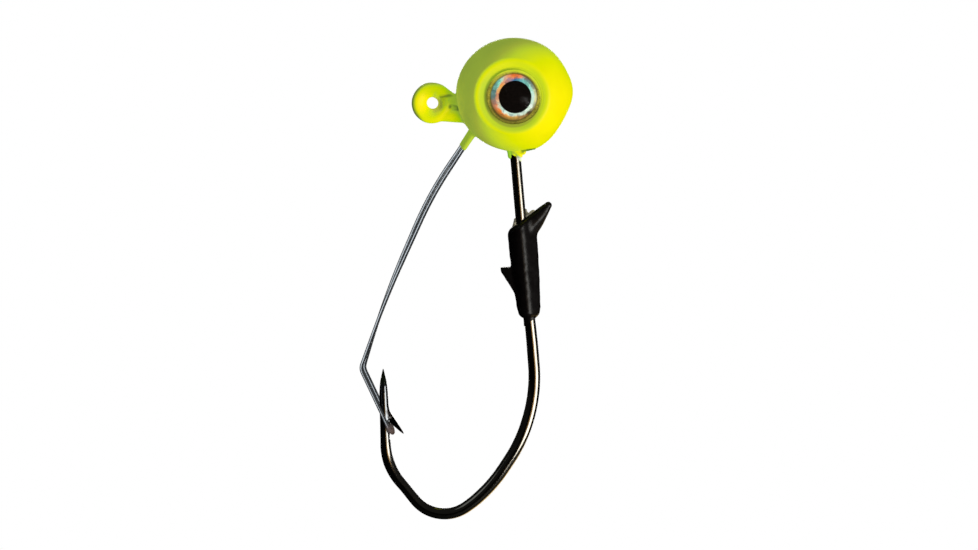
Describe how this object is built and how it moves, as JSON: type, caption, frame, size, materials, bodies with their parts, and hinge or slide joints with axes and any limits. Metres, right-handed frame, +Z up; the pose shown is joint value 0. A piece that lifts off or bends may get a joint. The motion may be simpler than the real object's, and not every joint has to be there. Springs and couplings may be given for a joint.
{
  "type": "jig head",
  "caption": "Ball jig head cast on an offset worm hook, with 3-D eyes, a folded spring-wire weed guard and a barbed bait keeper.",
  "frame": {"origin": "centre of the line tie's coated hole", "axes": "+Z up from the hook bend to the head, +X from the line tie through the head to its belly, Y across the hook; the hook lies in the XZ plane"},
  "size_m": [0.0232, 0.0122, 0.0525],
  "materials": {
    "hook_black_nickel": "black nickel plate, glossy",
    "lead": "cast lead alloy, dull grey",
    "chartreuse_coat": "fluorescent chartreuse powder coat, satin gloss",
    "spring_wire": "bright drawn stainless spring wire",
    "keeper_plastic": "moulded black, satin",
    "clear_adhesive": "cured clear adhesive, slightly amber",
    "eye_resin": "clear cast resin",
    "pupil_ink": "printed black",
    "iris_foil": "holographic foil",
    "adhesive_foam": "white foam tape"
  },
  "bodies": {
    "jig": {"hook": "hook_black_nickel", "head_casting": "lead", "powder_coat": "chartreuse_coat", "guard_root": "spring_wire", "bait_keeper": "keeper_plastic", "keeper_adhesive": "clear_adhesive", "left_eye_dome": "eye_resin", "left_eye_pupil": "pupil_ink", "left_eye_iris_foil": "iris_foil", "left_eye_adhesive_pad": "adhesive_foam", "right_eye_dome": "eye_resin", "right_eye_pupil": "pupil_ink", "right_eye_iris_foil": "iris_foil", "right_eye_adhesive_pad": "adhesive_foam"},
    "guard": {"weed_guard": "spring_wire"}
  },
  "joints": [
    {"name": "guard_flex", "type": "hinge", "parent": "jig", "child": "guard", "pos_m": [0.0019, 0, -0.00688], "axis": [0, -1, 0], "range_deg": [0, 24], "stiffness_Nm_per_rad": 0.0005, "springref_deg": -9.74}
  ]
}
